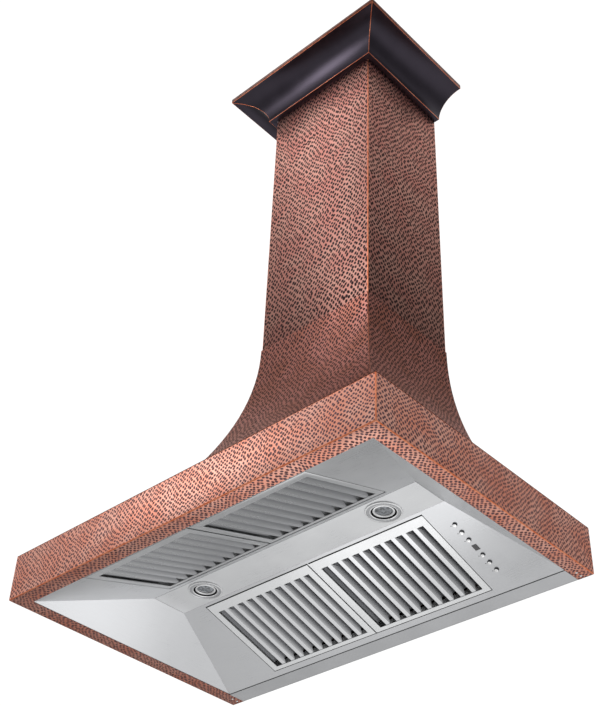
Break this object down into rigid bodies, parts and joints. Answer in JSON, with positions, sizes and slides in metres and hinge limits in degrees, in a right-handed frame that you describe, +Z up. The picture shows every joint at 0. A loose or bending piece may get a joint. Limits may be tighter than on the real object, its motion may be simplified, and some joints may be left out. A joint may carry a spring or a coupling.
{
  "type": "wall-backed range hood",
  "caption": "Copper chimney range hood with a flat back for the wall, a concave flare, crown moulding, a hipped stainless underside with baffle filters, lamps and push buttons.",
  "frame": {"origin": "middle of the footprint, in the plane of the underside of the copper lip", "axes": "+X to the right as the cook sees the hood, +Y towards the wall, +Z up along the chimney"},
  "size_m": [0.914, 0.609, 1.5315],
  "materials": {
    "black_moulding": "moulded",
    "board_green": "glass-fibre laminate",
    "bronze_crown": "smooth dark oil-rubbed finish with copper edges",
    "button_metal": "satin plated",
    "display_black": "polished",
    "filter_stainless": "fine brushed, bright",
    "galvanised_sheet": "plain zinc-coated sheet",
    "hammered_copper": "hammered, dark antique patina",
    "impeller_steel": "zinc-coated",
    "lamp_cast": "cast, dark",
    "lamp_lens": "moulded, faceted",
    "lamp_trim": "turned and brushed",
    "motor_steel": "black paint",
    "satin_stainless": "fine brushed",
    "shaft_steel": "ground",
    "zinc_screw": "zinc plated"
  },
  "bodies": {
    "hood": {"canopy_band": "hammered_copper", "canopy_flare": "hammered_copper", "chimney_cover": "hammered_copper", "crown_front": "bronze_crown", "crown_left": "bronze_crown", "crown_right": "bronze_crown", "back_panel": "satin_stainless", "rear_strip": "satin_stainless", "liner_front_panel": "satin_stainless", "liner_back_panel": "satin_stainless", "liner_left_end": "satin_stainless", "liner_right_end": "satin_stainless", "light_strip": "satin_stainless", "front_filter_rail": "satin_stainless", "back_filter_rail": "satin_stainless", "wall_plates": "galvanised_sheet", "chimney_bracket": "galvanised_sheet", "blower_scroll": "galvanised_sheet", "blower_side_left": "galvanised_sheet", "blower_side_right": "galvanised_sheet", "motor_bracket": "galvanised_sheet", "blower_mount": "galvanised_sheet", "outlet_adapter": "galvanised_sheet", "duct_collar": "galvanised_sheet", "junction_box": "galvanised_sheet", "junction_cover": "galvanised_sheet", "lip_rivets": "zinc_screw", "liner_studs": "zinc_screw", "sheet_screws": "zinc_screw", "light_trim_left": "lamp_trim", "lamp_body_left": "lamp_cast", "lamp_lens_left": "lamp_lens", "light_trim_right": "lamp_trim", "lamp_body_right": "lamp_cast", "lamp_lens_right": "lamp_lens", "button_housing": "black_moulding", "cable_gland": "black_moulding", "push_switches": "black_moulding", "lamp_driver": "black_moulding", "control_board": "board_green", "display_window": "display_black", "motor": "motor_steel"},
    "filter_back_right": {"filter_frame_back_right": "filter_stainless", "filter_baffles_back_right": "filter_stainless"},
    "filter_back_left": {"filter_frame_back_left": "filter_stainless", "filter_baffles_back_left": "filter_stainless"},
    "filter_front_left": {"filter_frame_front_left": "filter_stainless", "filter_baffles_front_left": "filter_stainless"},
    "filter_front_right": {"filter_frame_front_right": "filter_stainless", "filter_baffles_front_right": "filter_stainless"},
    "light_button": {"light_button": "button_metal"},
    "timer_button": {"timer_button": "button_metal"},
    "power_button": {"power_button": "button_metal"},
    "low_speed_button": {"low_speed_button": "button_metal"},
    "medium_speed_button": {"medium_speed_button": "button_metal"},
    "high_speed_button": {"high_speed_button": "button_metal"},
    "fan_rotor": {"impeller": "impeller_steel", "motor_shaft": "shaft_steel"},
    "damper_front": {"damper_flap_front": "galvanised_sheet"},
    "damper_back": {"damper_flap_back": "galvanised_sheet"}
  },
  "joints": [
    {"name": "filter_back_right_drop", "type": "hinge", "parent": "hood", "child": "filter_back_right", "pos_m": [0.139, 0.04655, 0.07078], "axis": [-1, 0, 0], "range_deg": [0, 65]},
    {"name": "filter_back_left_drop", "type": "hinge", "parent": "hood", "child": "filter_back_left", "pos_m": [-0.139, 0.04655, 0.07078], "axis": [-1, 0, 0], "range_deg": [0, 65]},
    {"name": "filter_front_left_drop", "type": "hinge", "parent": "hood", "child": "filter_front_left", "pos_m": [-0.139, -0.06807, 0.06945], "axis": [1, 0, 0], "range_deg": [0, 65]},
    {"name": "filter_front_right_drop", "type": "hinge", "parent": "hood", "child": "filter_front_right", "pos_m": [0.139, -0.06807, 0.06945], "axis": [1, 0, 0], "range_deg": [0, 65]},
    {"name": "light_press", "type": "slide", "parent": "hood", "child": "light_button", "axis": [0, 0.2868, 0.958], "range_m": [0, 0.0012], "stiffness_N_per_m": 350, "springref_m": -0.002},
    {"name": "timer_press", "type": "slide", "parent": "hood", "child": "timer_button", "axis": [0, 0.2868, 0.958], "range_m": [0, 0.0012], "stiffness_N_per_m": 350, "springref_m": -0.002},
    {"name": "power_press", "type": "slide", "parent": "hood", "child": "power_button", "axis": [0, 0.2868, 0.958], "range_m": [0, 0.0012], "stiffness_N_per_m": 350, "springref_m": -0.002},
    {"name": "low_speed_press", "type": "slide", "parent": "hood", "child": "low_speed_button", "axis": [0, 0.2868, 0.958], "range_m": [0, 0.0012], "stiffness_N_per_m": 350, "springref_m": -0.002},
    {"name": "medium_speed_press", "type": "slide", "parent": "hood", "child": "medium_speed_button", "axis": [0, 0.2868, 0.958], "range_m": [0, 0.0012], "stiffness_N_per_m": 350, "springref_m": -0.002},
    {"name": "high_speed_press", "type": "slide", "parent": "hood", "child": "high_speed_button", "axis": [0, 0.2868, 0.958], "range_m": [0, 0.0012], "stiffness_N_per_m": 350, "springref_m": -0.002},
    {"name": "fan_spin", "type": "hinge", "parent": "hood", "child": "fan_rotor", "pos_m": [0, 0.093, 0.33], "axis": [1, 0, 0], "continuous": true},
    {"name": "damper_front_open", "type": "hinge", "parent": "hood", "child": "damper_front", "pos_m": [0, 0.164, 0.56], "axis": [-1, 0, 0], "range_deg": [0, 78]},
    {"name": "damper_back_open", "type": "hinge", "parent": "hood", "child": "damper_back", "pos_m": [0, 0.173, 0.56], "axis": [1, 0, 0], "range_deg": [0, 78]}
  ]
}
